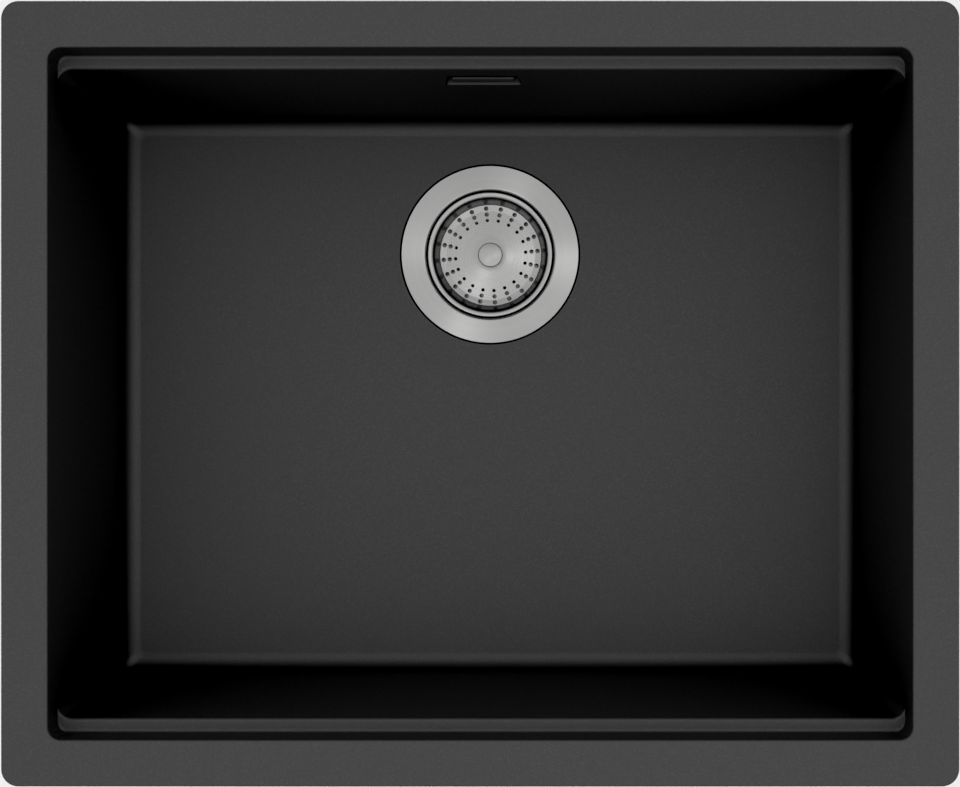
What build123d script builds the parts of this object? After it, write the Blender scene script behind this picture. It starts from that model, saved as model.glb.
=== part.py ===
from build123d import *
import os
from math import cos, radians, sin, tan

# Single-bowl composite sink with a basket-strainer waste and an overflow.
# Millimetres. The origin is the middle of the rim's top face, +Z up, +Y to the back where the drain is.

# Bowl moulding
OPENING_LENGTH = 501.0  # hollow at the rim, left to right
OPENING_WIDTH = 401.0  # hollow at the rim, front to back
OPENING_CORNER_RADIUS = 7.4
OPENING_EDGE_RADIUS = 1.5
RIM_BORDER = 27.0  # flat rim all round the hollow
RIM_THICKNESS = 12.0
RIM_CORNER_RADIUS = 10.0
RIM_EDGE_RADIUS = 1.0
BOWL_DEPTH = 200.0  # rim face down to the floor
END_DRAFT = 4.45  # left and right walls, degrees from upright
SIDE_DRAFT = 4.6  # front and back walls, degrees from upright
WALL_THICKNESS = 9.0
FLOOR_THICKNESS = 10.0
FLOOR_FILLET = 10.5  # hollow between wall and floor
FLOOR_CORNER_RADIUS = 4.0  # upright corners of the hollow at the floor
LEDGE_DEPTH = 24.0  # rim face down to the accessory ledges
LEDGE_WIDTH = 8.2
LEDGE_OUTER_CORNER = 6.0
LEDGE_INNER_CORNER = 8.0
LEDGE_EDGE_RADIUS = 2.0
LEDGE_ROOT_RADIUS = 2.0
LEDGE_STEP_HEIGHT = 14.0  # slope of the outside under a ledge
OUTER_FLOOR_RADIUS = 11.0
RIM_ROOT_RADIUS = 4.0
OUTER_CORNER_RADIUS = 14.0

# Threaded inserts under the rim
INSERT_RADIUS = 4.0
INSERT_LENGTH = 9.0
INSERT_BORE_RADIUS = 2.55
INSERT_FROM_EDGE = 9.5  # rim edge to insert axis
INSERT_SPAN_LONG = 360.0  # between the two inserts of a long side
INSERT_SPAN_SHORT = 240.0  # between the two inserts of a short side

# Drain in the floor
DRAIN_FROM_BACK = 110.0  # back edge of the hollow to the drain axis
DRAIN_HOLE_RADIUS = 45.0
RECESS_GAP = 1.3  # floor recess round the flange

# Strainer cup
FLANGE_RADIUS = 57.0
CUP_SHEET = 1.0
CUP_THROAT_RADIUS = 41.3
CUP_DEPTH = 25.0
CUP_TAPER = 3.5  # the cup is this much narrower at its floor
CUP_MOUTH_RADIUS = 1.4  # bend between flange and cup
CUP_BEND_RADIUS = 2.2
DRAIN_SLOTS = 6
SLOT_RING_RADIUS = 14.2
SLOT_WIDTH = 7.0
SLOT_ANGLE = 20.0
FLANGE_SEAL_THICKNESS = 1.2
FLANGE_SEAL_BORE = 46.0

# Waste body under the floor
GASKET_THICKNESS = 3.0
GASKET_BORE_RADIUS = 46.0
BODY_FLANGE_RADIUS = 54.0
BODY_FLANGE_THICKNESS = 5.0
BODY_RADIUS = 50.0
BODY_WALL = 3.0
BODY_DEPTH = 33.0
BODY_CONE_HEIGHT = 12.0
OUTLET_RADIUS = 23.9  # outside of the outlet thread
OUTLET_BORE_RADIUS = 20.0
OUTLET_LENGTH = 26.0
HUB_RADIUS = 12.0
HUB_LENGTH = 17.0
HUB_COVER = 3.0  # hub above the nut that is moulded into it
HUB_SPARE = 0.5  # blind hole past the end of the screw
HUB_RIBS = 4
HUB_RIB_THICKNESS = 3.0
CLAMP_GAP = 1.0  # left between hub and cup so that the gaskets take the load
PORT_DROP = 17.5  # body top down to the axis of the overflow port
PORT_REACH = 70.0  # drain axis to the end of the port

# Centre screw, nut, washer and sleeve
SCREW_RADIUS = 5.0
SCREW_HEAD_RADIUS = 7.5
SCREW_HEAD_HEIGHT = 4.5
SCREW_SLOT_WIDTH = 1.6
SCREW_SLOT_DEPTH = 1.4
SCREW_END = 2.0  # thread showing past the nut
WASHER_THICKNESS = 1.0
WASHER_RADIUS = 8.6
NUT_FLATS = 16.0
NUT_HEIGHT = 8.0
SLEEVE_RADIUS = 3.85
SLEEVE_LENGTH = 9.0
SLEEVE_FLANGE_RADIUS = 5.0
SLEEVE_FLANGE_THICKNESS = 0.8
SLEEVE_SLIT_WIDTH = 0.8

# Basket, knob, stem and stopper
BASKET_SHEET = 0.8
BASKET_RADIUS = 40.5
BASKET_SET_DOWN = 0.8  # flange face down to the lip
BASKET_EDGE_DROP = 2.2  # edge turned down outside the lip
BASKET_EDGE_RADIUS = 0.6
BASKET_MOUTH = 36.75  # radius where the lip turns down into the wall
BASKET_MOUTH_RADIUS = 3.0
BASKET_BAND_OUTER = 33.3  # sloping band that carries the outer ring of holes
BASKET_BAND_INNER = 29.0
BASKET_BAND_RISE = 0.95
BASKET_BAND_RADIUS = 1.0
BASKET_DEPTH = 13.0  # flange face down to the middle of the dish
BASKET_FALL = 1.6  # the dish is this much lower at the band
BASKET_FLAT_RADIUS = 10.0
BASKET_BEND_RADIUS = 3.5
HOLES_PER_RING = 20
HOLE_START_ANGLE = 5.4
INNER_RING_RADIUS = 22.9
MIDDLE_RING_RADIUS = 26.7
OUTER_RING_RADIUS = 30.6
INNER_HOLE_RADIUS = 1.1
MIDDLE_HOLE_RADIUS = 1.4
OUTER_HOLE_RADIUS = 1.45
KNOB_RADIUS = 7.8
KNOB_NECK_RADIUS = 5.4
KNOB_HEIGHT = 9.0
KNOB_HEAD_HEIGHT = 4.4
KNOB_DOME_RISE = 0.9
KNOB_EDGE_RADIUS = 0.6
STEM_RADIUS = 2.8
STEM_SCREW_RADIUS = 2.5
STEM_IN_KNOB = 5.0
STEM_COLLAR_RADIUS = 5.0
STEM_COLLAR_THICKNESS = 1.2
STEM_IN_SLEEVE = 8.0
STEM_TIP_CHAMFER = 0.9
STEM_GAP = 0.3  # collar above the sleeve
CARRIER_RADIUS = 20.5
CARRIER_WALL = 3.0
CARRIER_DISC = 2.2
CARRIER_HUB_RADIUS = 9.0
STOPPER_RADIUS = 23.5
STOPPER_THICKNESS = 3.0
STOPPER_LIP_HEIGHT = 2.4
STOPPER_LIP_WALL = 1.9

# Overflow in the back wall
OVERFLOW_DEPTH = 59.0  # rim face down to the middle of the recess
RECESS_TOP_LENGTH = 41.0
RECESS_BOTTOM_LENGTH = 46.0
RECESS_HEIGHT = 28.0
RECESS_DEPTH = 7.0
RECESS_CORNER_RADIUS = 2.5
RECESS_EDGE_RADIUS = 1.0
PASSAGE_LENGTH = 32.0
PASSAGE_HEIGHT = 14.0
PASSAGE_CORNER_RADIUS = 3.0
PAD_RISE = 4.0  # flat pad standing on the outside of the wall
PAD_LENGTH = 88.0
PAD_HEIGHT = 42.0
PAD_CORNER_RADIUS = 7.0
COVER_LENGTH = 37.5
COVER_HEIGHT = 17.0
COVER_THICKNESS = 1.2
COVER_FROM_TOP = 8.0  # recess top down to the cover
COVER_PROUD = 0.2  # cover in front of the wall at its top edge
COVER_CORNER_RADIUS = 1.5
COVER_LEG = 3.0
COVER_LEG_HEIGHT = 8.0
COVER_LEG_LENGTH = 15.0

# Collecting box behind the overflow
OVERFLOW_GASKET_THICKNESS = 2.0
HEAD_FLANGE_LENGTH = 84.0
HEAD_FLANGE_HEIGHT = 38.0
HEAD_FLANGE_THICKNESS = 4.0
HEAD_CORNER_RADIUS = 6.0
BOX_LENGTH = 46.0
BOX_HEIGHT = 28.0
BOX_DEPTH = 22.0  # flange face to the back of the box
BOX_WALL = 2.5
BOX_CORNER_RADIUS = 4.0
SOCKET_BELOW_FLANGE = 15.0
PIPE_FROM_FLANGE = 11.0  # flange face to the pipe axis
HEAD_SCREW_SPAN = 70.0
HEAD_SCREW_RADIUS = 2.0
HEAD_SCREW_HEAD_RADIUS = 3.8
HEAD_SCREW_HEAD_HEIGHT = 2.6
HEAD_INSERT_RADIUS = 3.0
HEAD_INSERT_LENGTH = 6.5
HEAD_INSERT_BORE_RADIUS = 2.05

# Overflow pipe with a slip nut and a seal at each end
PIPE_RADIUS = 8.0
PIPE_BORE_RADIUS = 6.5
PIPE_BEND_RADIUS = 28.0
PIPE_IN_SOCKET = 12.0
SOCKET_RADIUS = 10.5
SLIP_NUT_RADIUS = 13.5
SLIP_NUT_GRIP = 8.0  # nut length over the socket
SLIP_NUT_END = 3.0
SLIP_NUT_FLUTES = 12
SLIP_NUT_FLUTE_RADIUS = 1.4
SLIP_SEAL_THICKNESS = 3.0

# Clearances
RUNNING = 0.05  # between turning or sliding round faces
CLEARANCE = 0.15  # between pieces put together by hand
SCREW_CLEARANCE = 0.3

# Levels and places worked out from the sizes
END_SLOPE = tan(radians(END_DRAFT))
SIDE_SLOPE = tan(radians(SIDE_DRAFT))
RIM_LENGTH = OPENING_LENGTH + 2 * RIM_BORDER
RIM_WIDTH = OPENING_WIDTH + 2 * RIM_BORDER
DRAIN = Pos(0, OPENING_WIDTH / 2 - DRAIN_FROM_BACK, -BOWL_DEPTH)
FLOOR_RECESS = CUP_SHEET + FLANGE_SEAL_THICKNESS

# Heights of the waste, measured from the bowl's floor
CUP_FLOOR = -CUP_DEPTH
CUP_UNDERSIDE = CUP_FLOOR - CUP_SHEET
BODY_TOP = -FLOOR_THICKNESS - GASKET_THICKNESS
BODY_SHOULDER = BODY_TOP - BODY_DEPTH
OUTLET_TOP = BODY_SHOULDER - BODY_CONE_HEIGHT
OUTLET_END = OUTLET_TOP - OUTLET_LENGTH
PORT_AXIS = BODY_TOP - PORT_DROP
HUB_TOP = CUP_UNDERSIDE - CLAMP_GAP
HUB_END = HUB_TOP - HUB_LENGTH
NUT_TOP = HUB_TOP - HUB_COVER
NUT_END = NUT_TOP - NUT_HEIGHT
SCREW_TIP = NUT_END - SCREW_END
SCREW_SEAT = CUP_FLOOR + WASHER_THICKNESS
SCREW_TOP = SCREW_SEAT + SCREW_HEAD_HEIGHT
SLEEVE_TOP = SCREW_TOP + SLEEVE_FLANGE_THICKNESS
COLLAR_END = SLEEVE_TOP + STEM_GAP
COLLAR_TOP = COLLAR_END + STEM_COLLAR_THICKNESS
DISH_TOP = -BASKET_DEPTH
DISH_UNDERSIDE = DISH_TOP - BASKET_SHEET
STOPPER_TOP = CUP_FLOOR + STOPPER_THICKNESS

# Places of the overflow
OVERFLOW_WALL = OPENING_WIDTH / 2 - LEDGE_WIDTH - OVERFLOW_DEPTH * SIDE_SLOPE
RECESS_BACK = OVERFLOW_WALL + RECESS_DEPTH
PAD_FACE = OVERFLOW_WALL + WALL_THICKNESS + PAD_RISE
HEAD_FRONT = PAD_FACE + OVERFLOW_GASKET_THICKNESS
HEAD_BACK = HEAD_FRONT + HEAD_FLANGE_THICKNESS
PIPE_Y = HEAD_FRONT + PIPE_FROM_FLANGE
SOCKET_END = -OVERFLOW_DEPTH - HEAD_FLANGE_HEIGHT / 2 - SOCKET_BELOW_FLANGE
SOCKET_BORE_RADIUS = PIPE_RADIUS + CLEARANCE


def hollow_section(depth, inset_ends, inset_sides, corner):
    """Outline of the bowl's hollow at a depth below the rim."""
    length = OPENING_LENGTH - 2 * (depth * END_SLOPE + inset_ends)
    width = OPENING_WIDTH - 2 * (depth * SIDE_SLOPE + inset_sides)
    return Pos(0, 0, -depth) * RectangleRounded(length, width, corner)


def outer_section(depth, inset_sides):
    """Outline of the bowl's outside at a depth below the rim."""
    length = OPENING_LENGTH + 2 * (WALL_THICKNESS - depth * END_SLOPE)
    width = OPENING_WIDTH + 2 * (WALL_THICKNESS - depth * SIDE_SLOPE - inset_sides)
    return Pos(0, 0, -depth) * RectangleRounded(length, width, OUTER_CORNER_RADIUS)


def upright_plate(outline, front, thickness):
    """Plate with its outline in X and Z, from a front Y towards the back."""
    plane = Plane((0, front, 0), x_dir=(1, 0, 0), z_dir=(0, -1, 0))
    return extrude(plane * outline, -thickness)


def turned(*points):
    """Solid turned about the Z axis from an outline of radius and height pairs."""
    outline = make_face(Polyline(*points, close=True))
    return revolve(Plane.XZ * outline, Axis.Z)


def pressed(path, sheet):
    """Sheet of even thickness turned about the Z axis along a middle line."""
    return revolve(Plane.XZ * trace(path, sheet), Axis.Z)


def ring(outer, inner, low, high):
    """Flat ring about the Z axis."""
    return turned((inner, low), (outer, low), (outer, high), (inner, high))


def flat_edges(shape, depth, half_length, half_width):
    """Edges lying level at a depth below the rim and inside a plan size."""
    picked = []
    for edge in shape.edges():
        box = edge.bounding_box()
        level = abs(box.min.Z + depth) < 0.01 and abs(box.max.Z + depth) < 0.01
        inside_x = max(abs(box.min.X), abs(box.max.X)) < half_length
        inside_y = max(abs(box.min.Y), abs(box.max.Y)) < half_width
        if level and inside_x and inside_y:
            picked.append(edge)
    return picked


def insert_places():
    """Plan places of the inserts: two along each side of the rim."""
    side_x = RIM_LENGTH / 2 - INSERT_FROM_EDGE
    side_y = RIM_WIDTH / 2 - INSERT_FROM_EDGE
    places = []
    for sign_x in (-1, 1):
        for sign_y in (-1, 1):
            places.append((sign_x * INSERT_SPAN_LONG / 2, sign_y * side_y))
            places.append((sign_x * side_x, sign_y * INSERT_SPAN_SHORT / 2))
    return places


def bowl_hollow():
    """Space inside the bowl: upper part, ledge rounding, lower part and floor rounding."""
    steps = 6
    upper = loft(
        [
            hollow_section(0, 0, 0, OPENING_CORNER_RADIUS),
            hollow_section(LEDGE_DEPTH - LEDGE_ROOT_RADIUS, 0, 0, LEDGE_OUTER_CORNER),
        ],
        ruled=True,
    )
    root = []
    edge = []
    for step in range(steps + 1):
        turn = radians(90 * step / steps)
        depth = LEDGE_DEPTH - LEDGE_ROOT_RADIUS * (1 - sin(turn))
        inset = LEDGE_ROOT_RADIUS * (1 - cos(turn))
        root.append(hollow_section(depth, 0, inset, LEDGE_OUTER_CORNER))
        depth = LEDGE_DEPTH + LEDGE_EDGE_RADIUS * (1 - cos(turn))
        inset = LEDGE_WIDTH - LEDGE_EDGE_RADIUS * (1 - sin(turn))
        edge.append(hollow_section(depth, 0, inset, LEDGE_INNER_CORNER))
    end_reach = FLOOR_FILLET * tan(radians(90 - END_DRAFT) / 2)
    side_reach = FLOOR_FILLET * tan(radians(90 - SIDE_DRAFT) / 2)
    foot = []
    for step in range(steps + 1):
        turn = radians((90 - SIDE_DRAFT) * (steps - step) / steps)
        rise = FLOOR_FILLET * (1 - cos(turn))
        inset_ends = end_reach - FLOOR_FILLET * sin(turn) + rise * END_SLOPE
        inset_sides = side_reach - FLOOR_FILLET * sin(turn) + rise * SIDE_SLOPE + LEDGE_WIDTH
        foot.append(hollow_section(BOWL_DEPTH - rise, inset_ends, inset_sides, FLOOR_CORNER_RADIUS))
    lower = loft([edge[-1], foot[0]], ruled=True)
    return upper + loft(root, ruled=True) + loft(edge, ruled=True) + lower + loft(foot)


def sink_bowl():
    """Composite moulding with its drain hole, overflow and insert holes."""
    outline = RectangleRounded(RIM_LENGTH, RIM_WIDTH, RIM_CORNER_RADIUS)
    rim = extrude(outline, -RIM_THICKNESS)
    rim = fillet(rim.edges().group_by(Axis.Z)[-1], RIM_EDGE_RADIUS)
    rim = fillet(rim.edges().group_by(Axis.Z)[0], RIM_EDGE_RADIUS)
    shell = loft(
        [
            outer_section(RIM_THICKNESS / 2, 0),
            outer_section(LEDGE_DEPTH, 0),
            outer_section(LEDGE_DEPTH + LEDGE_STEP_HEIGHT, LEDGE_WIDTH),
            outer_section(BOWL_DEPTH + FLOOR_THICKNESS, LEDGE_WIDTH),
        ],
        ruled=True,
    )
    shell = fillet(shell.edges().group_by(Axis.Z)[0], OUTER_FLOOR_RADIUS)
    bowl = rim + shell
    inside_x = RIM_LENGTH / 2 - RIM_EDGE_RADIUS - 0.1
    inside_y = RIM_WIDTH / 2 - RIM_EDGE_RADIUS - 0.1
    bowl = fillet(flat_edges(bowl, RIM_THICKNESS, inside_x - 1, inside_y - 1), RIM_ROOT_RADIUS)

    pad_outline = RectangleRounded(PAD_LENGTH, PAD_HEIGHT, PAD_CORNER_RADIUS)
    pad_front = OVERFLOW_WALL + WALL_THICKNESS / 2
    bowl += upright_plate(Pos(0, -OVERFLOW_DEPTH) * pad_outline, pad_front, PAD_FACE - pad_front)
    bowl -= bowl_hollow()
    half_x = OPENING_LENGTH / 2 + OPENING_EDGE_RADIUS
    half_y = OPENING_WIDTH / 2 + OPENING_EDGE_RADIUS
    bowl = fillet(flat_edges(bowl, 0, half_x, half_y), OPENING_EDGE_RADIUS)

    drain = Pos(0, 0, -FLOOR_THICKNESS) * Cylinder(DRAIN_HOLE_RADIUS, 4 * FLOOR_THICKNESS)
    seat = Cylinder(FLANGE_RADIUS + RECESS_GAP, 2 * FLOOR_RECESS)
    bowl -= DRAIN * (drain + seat)

    half_top = RECESS_TOP_LENGTH / 2
    half_bottom = RECESS_BOTTOM_LENGTH / 2
    top = -OVERFLOW_DEPTH + RECESS_HEIGHT / 2
    bottom = -OVERFLOW_DEPTH - RECESS_HEIGHT / 2
    corners = ((-half_bottom, bottom), (half_bottom, bottom), (half_top, top), (-half_top, top))
    recess = make_face(Polyline(*corners, close=True))
    recess_front = OVERFLOW_WALL - RECESS_DEPTH
    bowl -= upright_plate(recess, recess_front, RECESS_BACK - recess_front)
    recess_corners = []
    for edge in bowl.edges().filter_by(Axis.Y):
        box = edge.bounding_box()
        meets_back = abs(box.max.Y - RECESS_BACK) < 0.01
        if meets_back and abs(box.max.X) < RECESS_BOTTOM_LENGTH:
            recess_corners.append(edge)
    bowl = fillet(recess_corners, RECESS_CORNER_RADIUS)
    recess_edges = []
    for edge in bowl.edges():
        box = edge.bounding_box()
        on_wall = recess_front < box.min.Y and box.max.Y < RECESS_BACK - RECESS_DEPTH / 2
        in_height = bottom - 0.01 < box.min.Z and box.max.Z < top + 0.01
        if on_wall and in_height and abs(box.max.X) < half_bottom:
            recess_edges.append(edge)
    bowl = fillet(recess_edges, RECESS_EDGE_RADIUS)
    passage = RectangleRounded(PASSAGE_LENGTH, PASSAGE_HEIGHT, PASSAGE_CORNER_RADIUS)
    bowl -= upright_plate(Pos(0, -OVERFLOW_DEPTH) * passage, OVERFLOW_WALL, 2 * (PAD_FACE - OVERFLOW_WALL))
    hole = Circle(HEAD_INSERT_RADIUS + RUNNING)
    for sign in (-1, 1):
        place = Pos(sign * HEAD_SCREW_SPAN / 2, -OVERFLOW_DEPTH)
        bowl -= upright_plate(place * hole, PAD_FACE - HEAD_INSERT_LENGTH - CLEARANCE, 2 * HEAD_INSERT_LENGTH)
    for x, y in insert_places():
        depth = INSERT_LENGTH + CLEARANCE
        bowl -= Pos(x, y, -RIM_THICKNESS) * Cylinder(INSERT_RADIUS + RUNNING, 2 * depth)
    return bowl


def rim_inserts():
    """Threaded brass inserts, flush with the underside of the rim."""
    insert = ring(INSERT_RADIUS, INSERT_BORE_RADIUS, 0, INSERT_LENGTH)
    return Compound([Pos(x, y, -RIM_THICKNESS) * insert for x, y in insert_places()])


def flange_seal():
    """Flat rubber ring between the flange and the bowl's floor."""
    outer = FLANGE_RADIUS - CLEARANCE
    return DRAIN * ring(outer, FLANGE_SEAL_BORE, -FLOOR_RECESS, -CUP_SHEET)


def strainer_cup():
    """Pressed flange and cup with drain slots round the screw."""
    half = CUP_SHEET / 2
    throat = CUP_THROAT_RADIUS + half
    path = FilletPolyline(
        (FLANGE_RADIUS, -half),
        (throat, -half),
        (throat - CUP_TAPER, CUP_FLOOR - half),
        (SCREW_RADIUS + SCREW_CLEARANCE, CUP_FLOOR - half),
        radius=(CUP_MOUTH_RADIUS, CUP_BEND_RADIUS),
    )
    cup = pressed(path, CUP_SHEET)
    for number in range(DRAIN_SLOTS):
        start = number * 360 / DRAIN_SLOTS
        slot = SlotArc(CenterArc((0, 0), SLOT_RING_RADIUS, start, SLOT_ANGLE), SLOT_WIDTH)
        cup -= extrude(Pos(0, 0, CUP_FLOOR - 2 * CUP_SHEET) * slot, 3 * CUP_SHEET)
    return DRAIN * cup


def body_gasket():
    """Rubber ring between the bowl's underside and the waste body."""
    return DRAIN * ring(BODY_FLANGE_RADIUS, GASKET_BORE_RADIUS, BODY_TOP, -FLOOR_THICKNESS)


def waste_body():
    """Plastic lower half of the waste with hub, ribs, outlet and overflow port."""
    inner = BODY_RADIUS - BODY_WALL
    fall = BODY_CONE_HEIGHT / (inner - OUTLET_BORE_RADIUS)
    thick = BODY_WALL * (1 + fall)
    under = BODY_TOP - BODY_FLANGE_THICKNESS
    body = turned(
        (inner, BODY_TOP),
        (BODY_FLANGE_RADIUS, BODY_TOP),
        (BODY_FLANGE_RADIUS, under),
        (BODY_RADIUS, under),
        (BODY_RADIUS, BODY_SHOULDER + BODY_WALL * fall - thick),
        (OUTLET_RADIUS, OUTLET_TOP + (OUTLET_RADIUS - OUTLET_BORE_RADIUS) * fall - thick),
        (OUTLET_RADIUS, OUTLET_END),
        (OUTLET_BORE_RADIUS, OUTLET_END),
        (OUTLET_BORE_RADIUS, OUTLET_TOP),
        (inner, BODY_SHOULDER),
    )
    hub = Pos(0, 0, (HUB_TOP + HUB_END) / 2) * Cylinder(HUB_RADIUS, HUB_LENGTH)
    rib_length = inner + BODY_WALL / 2
    rib_height = min(HUB_LENGTH, HUB_TOP - BODY_SHOULDER)
    rib = Pos(rib_length / 2, 0, HUB_TOP - rib_height / 2) * Box(rib_length, HUB_RIB_THICKNESS, rib_height)
    for number in range(HUB_RIBS):
        hub += Rot(0, 0, 45 + number * 360 / HUB_RIBS) * rib
    body += hub
    port_length = PORT_REACH - inner
    port_middle = Pos(0, inner + port_length / 2, PORT_AXIS) * Rot(90, 0, 0)
    wall = turned((inner, BODY_TOP), (inner, BODY_SHOULDER), (0, BODY_SHOULDER), (0, BODY_TOP))
    body += port_middle * Cylinder(SOCKET_RADIUS, port_length) - wall
    socket_middle = Pos(0, PORT_REACH, PORT_AXIS) * Rot(90, 0, 0)
    body -= socket_middle * Cylinder(SOCKET_BORE_RADIUS, 2 * (PIPE_IN_SOCKET + CLEARANCE))
    body -= port_middle * Cylinder(PIPE_BORE_RADIUS, port_length + 2 * BODY_WALL)
    hole_length = HUB_TOP - SCREW_TIP + HUB_SPARE
    body -= Pos(0, 0, HUB_TOP) * Cylinder(SCREW_RADIUS + SCREW_CLEARANCE, 2 * hole_length)
    pocket = RegularPolygon(NUT_FLATS / 2 + CLEARANCE, 6, major_radius=False)
    body -= extrude(Pos(0, 0, NUT_END - CLEARANCE) * pocket, NUT_HEIGHT + CLEARANCE)
    return DRAIN * body


def centre_nut():
    """Brass nut moulded into the hub."""
    nut = extrude(Pos(0, 0, NUT_END) * RegularPolygon(NUT_FLATS / 2, 6, major_radius=False), NUT_HEIGHT)
    nut -= Pos(0, 0, NUT_END) * Cylinder(SCREW_RADIUS + RUNNING, 3 * NUT_HEIGHT)
    return DRAIN * nut


def screw_washer():
    """Sealing washer under the head of the screw."""
    return DRAIN * ring(WASHER_RADIUS, SCREW_RADIUS + CLEARANCE, CUP_FLOOR, SCREW_SEAT)


def centre_screw():
    """Screw with a driver slot and a socket for the sleeve in its head."""
    screw = turned(
        (0, SCREW_TIP),
        (SCREW_RADIUS - 1, SCREW_TIP),
        (SCREW_RADIUS, SCREW_TIP + 1),
        (SCREW_RADIUS, SCREW_SEAT),
        (SCREW_HEAD_RADIUS, SCREW_SEAT),
        (SCREW_HEAD_RADIUS, SCREW_TOP),
        (0, SCREW_TOP),
    )
    socket = SLEEVE_LENGTH + STEM_GAP
    screw -= Pos(0, 0, SCREW_TOP) * Cylinder(SLEEVE_RADIUS + RUNNING, 2 * socket)
    screw -= Pos(0, 0, SCREW_TOP) * Box(3 * SCREW_HEAD_RADIUS, SCREW_SLOT_WIDTH, 2 * SCREW_SLOT_DEPTH)
    return DRAIN * screw


def stem_sleeve():
    """Split plastic sleeve that grips the stem."""
    bore = STEM_RADIUS + RUNNING
    sleeve = turned(
        (bore, SCREW_TOP - SLEEVE_LENGTH),
        (SLEEVE_RADIUS, SCREW_TOP - SLEEVE_LENGTH),
        (SLEEVE_RADIUS, SCREW_TOP),
        (SLEEVE_FLANGE_RADIUS, SCREW_TOP),
        (SLEEVE_FLANGE_RADIUS, SLEEVE_TOP),
        (bore, SLEEVE_TOP),
    )
    slit_height = SLEEVE_LENGTH * 0.7
    slit = Box(4 * SLEEVE_RADIUS, SLEEVE_SLIT_WIDTH, slit_height)
    sleeve -= Pos(0, 0, SCREW_TOP - SLEEVE_LENGTH + slit_height / 2) * slit
    return DRAIN * sleeve


def strainer_basket():
    """Pressed dish with a flat lip, a sloping band and three rings of holes."""
    half = BASKET_SHEET / 2
    lip = -BASKET_SET_DOWN - half
    band = DISH_TOP - BASKET_FALL - half
    path = FilletPolyline(
        (BASKET_RADIUS - half, lip - BASKET_EDGE_DROP),
        (BASKET_RADIUS - half, lip),
        (BASKET_MOUTH, lip),
        (BASKET_BAND_OUTER, band + BASKET_BAND_RISE),
        (BASKET_BAND_INNER, band),
        (BASKET_FLAT_RADIUS, DISH_TOP - half),
        (STEM_SCREW_RADIUS + SCREW_CLEARANCE, DISH_TOP - half),
        radius=(
            BASKET_EDGE_RADIUS,
            BASKET_MOUTH_RADIUS,
            BASKET_BAND_RADIUS,
            BASKET_BAND_RADIUS,
            BASKET_BEND_RADIUS,
        ),
    )
    basket = pressed(path, BASKET_SHEET)
    rings = (
        (INNER_RING_RADIUS, INNER_HOLE_RADIUS),
        (MIDDLE_RING_RADIUS, MIDDLE_HOLE_RADIUS),
        (OUTER_RING_RADIUS, OUTER_HOLE_RADIUS),
    )
    holes = []
    for ring_radius, hole_radius in rings:
        hole = Pos(ring_radius, 0, DISH_TOP - BASKET_FALL) * Cylinder(hole_radius, BASKET_DEPTH)
        for number in range(HOLES_PER_RING):
            holes.append(Rot(0, 0, HOLE_START_ANGLE + number * 360 / HOLES_PER_RING) * hole)
    return DRAIN * (basket - holes)


def basket_knob():
    """Turned knob with a neck for the fingers and a domed top."""
    top = DISH_TOP + KNOB_HEIGHT
    head = top - KNOB_HEAD_HEIGHT
    knob = turned(
        (0, DISH_TOP),
        (KNOB_NECK_RADIUS, DISH_TOP),
        (KNOB_NECK_RADIUS, head - 1.5),
        (KNOB_RADIUS, head),
        (KNOB_RADIUS, top),
        (0, top),
    )
    ball = (KNOB_RADIUS**2 + KNOB_DOME_RISE**2) / (2 * KNOB_DOME_RISE)
    knob &= Pos(0, 0, top - ball) * Sphere(ball)
    dome_edge = flat_edges(knob, KNOB_DOME_RISE - top, 2 * KNOB_RADIUS, 2 * KNOB_RADIUS)
    knob = fillet(dome_edge, KNOB_EDGE_RADIUS)
    knob -= Pos(0, 0, DISH_TOP) * Cylinder(STEM_SCREW_RADIUS + RUNNING, 2 * (STEM_IN_KNOB + CLEARANCE))
    return DRAIN * knob


def basket_stem():
    """Pin under the basket: screwed into the knob, with a collar that carries the stopper."""
    tip = SLEEVE_TOP - STEM_IN_SLEEVE
    stem = turned(
        (0, tip),
        (STEM_RADIUS - STEM_TIP_CHAMFER, tip),
        (STEM_RADIUS, tip + STEM_TIP_CHAMFER),
        (STEM_RADIUS, COLLAR_END),
        (STEM_COLLAR_RADIUS, COLLAR_END),
        (STEM_COLLAR_RADIUS, COLLAR_TOP),
        (STEM_SCREW_RADIUS, COLLAR_TOP),
        (STEM_SCREW_RADIUS, DISH_TOP + STEM_IN_KNOB),
        (0, DISH_TOP + STEM_IN_KNOB),
    )
    return DRAIN * stem


def stopper_carrier():
    """Plastic carrier clamped between the dish and the collar of the stem."""
    bore = STEM_SCREW_RADIUS + CLEARANCE
    carrier = turned(
        (bore, COLLAR_TOP),
        (CARRIER_RADIUS - CARRIER_WALL, COLLAR_TOP),
        (CARRIER_RADIUS - CARRIER_WALL, STOPPER_TOP),
        (CARRIER_RADIUS, STOPPER_TOP),
        (CARRIER_RADIUS, COLLAR_TOP + CARRIER_DISC),
        (CARRIER_HUB_RADIUS, COLLAR_TOP + CARRIER_DISC),
        (CARRIER_HUB_RADIUS, DISH_UNDERSIDE),
        (bore, DISH_UNDERSIDE),
    )
    return DRAIN * carrier


def stopper_seal():
    """Rubber ring that closes the drain slots, with a lip inside the carrier."""
    lip = CARRIER_RADIUS - CARRIER_WALL - RUNNING
    seal = turned(
        (lip - STOPPER_LIP_WALL, CUP_FLOOR),
        (STOPPER_RADIUS, CUP_FLOOR),
        (STOPPER_RADIUS, STOPPER_TOP - 1),
        (STOPPER_RADIUS - 1, STOPPER_TOP),
        (lip, STOPPER_TOP),
        (lip, STOPPER_TOP + STOPPER_LIP_HEIGHT),
        (lip - STOPPER_LIP_WALL, STOPPER_TOP + STOPPER_LIP_HEIGHT),
    )
    return DRAIN * seal


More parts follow.
